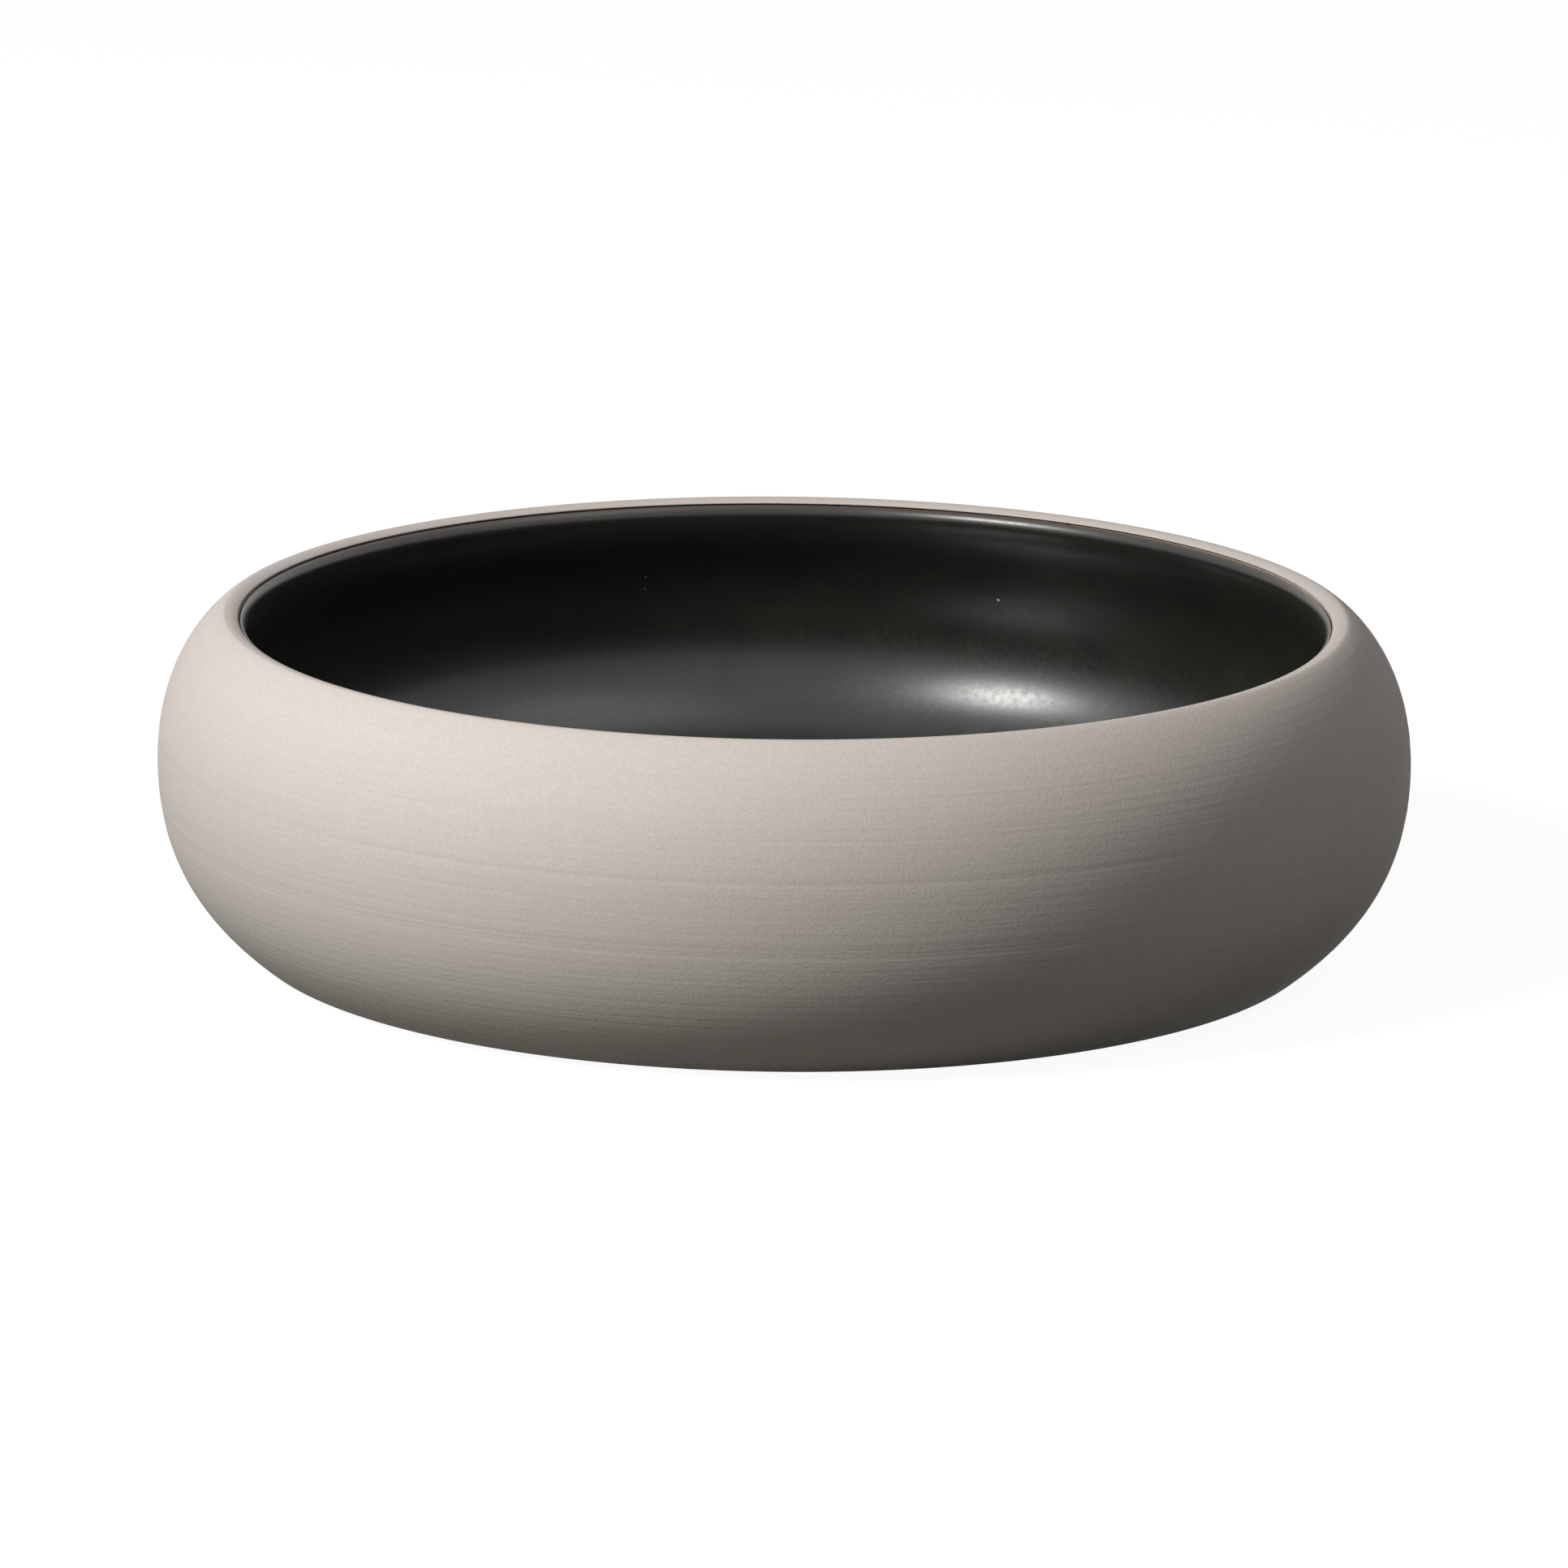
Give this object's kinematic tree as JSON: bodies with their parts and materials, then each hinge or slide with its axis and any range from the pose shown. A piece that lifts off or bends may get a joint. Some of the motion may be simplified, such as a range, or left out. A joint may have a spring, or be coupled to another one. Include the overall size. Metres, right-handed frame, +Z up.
{
  "type": "bowl",
  "caption": "Wide, shallow stoneware serving bowl with an inward-curving rim, matte grey slip outside and black satin glaze inside",
  "frame": {"origin": "Centre of the foot ring's standing face, on the plane of the table", "axes": "+Z points up along the bowl's axis of revolution; +X and +Y lie in the table's plane and are alike"},
  "size_m": [0.28, 0.28, 0.0754],
  "materials": {
    "clay": "matte fired stoneware",
    "bare_foot": "matte unglazed stoneware",
    "grey_slip": "matte warm grey slip with fine turning lines",
    "black_glaze": "satin black glaze"
  },
  "bodies": {
    "root": {"clay_body": "clay", "foot_ring": "bare_foot", "exterior_slip": "grey_slip", "interior_glaze": "black_glaze"}
  },
  "joints": []
}
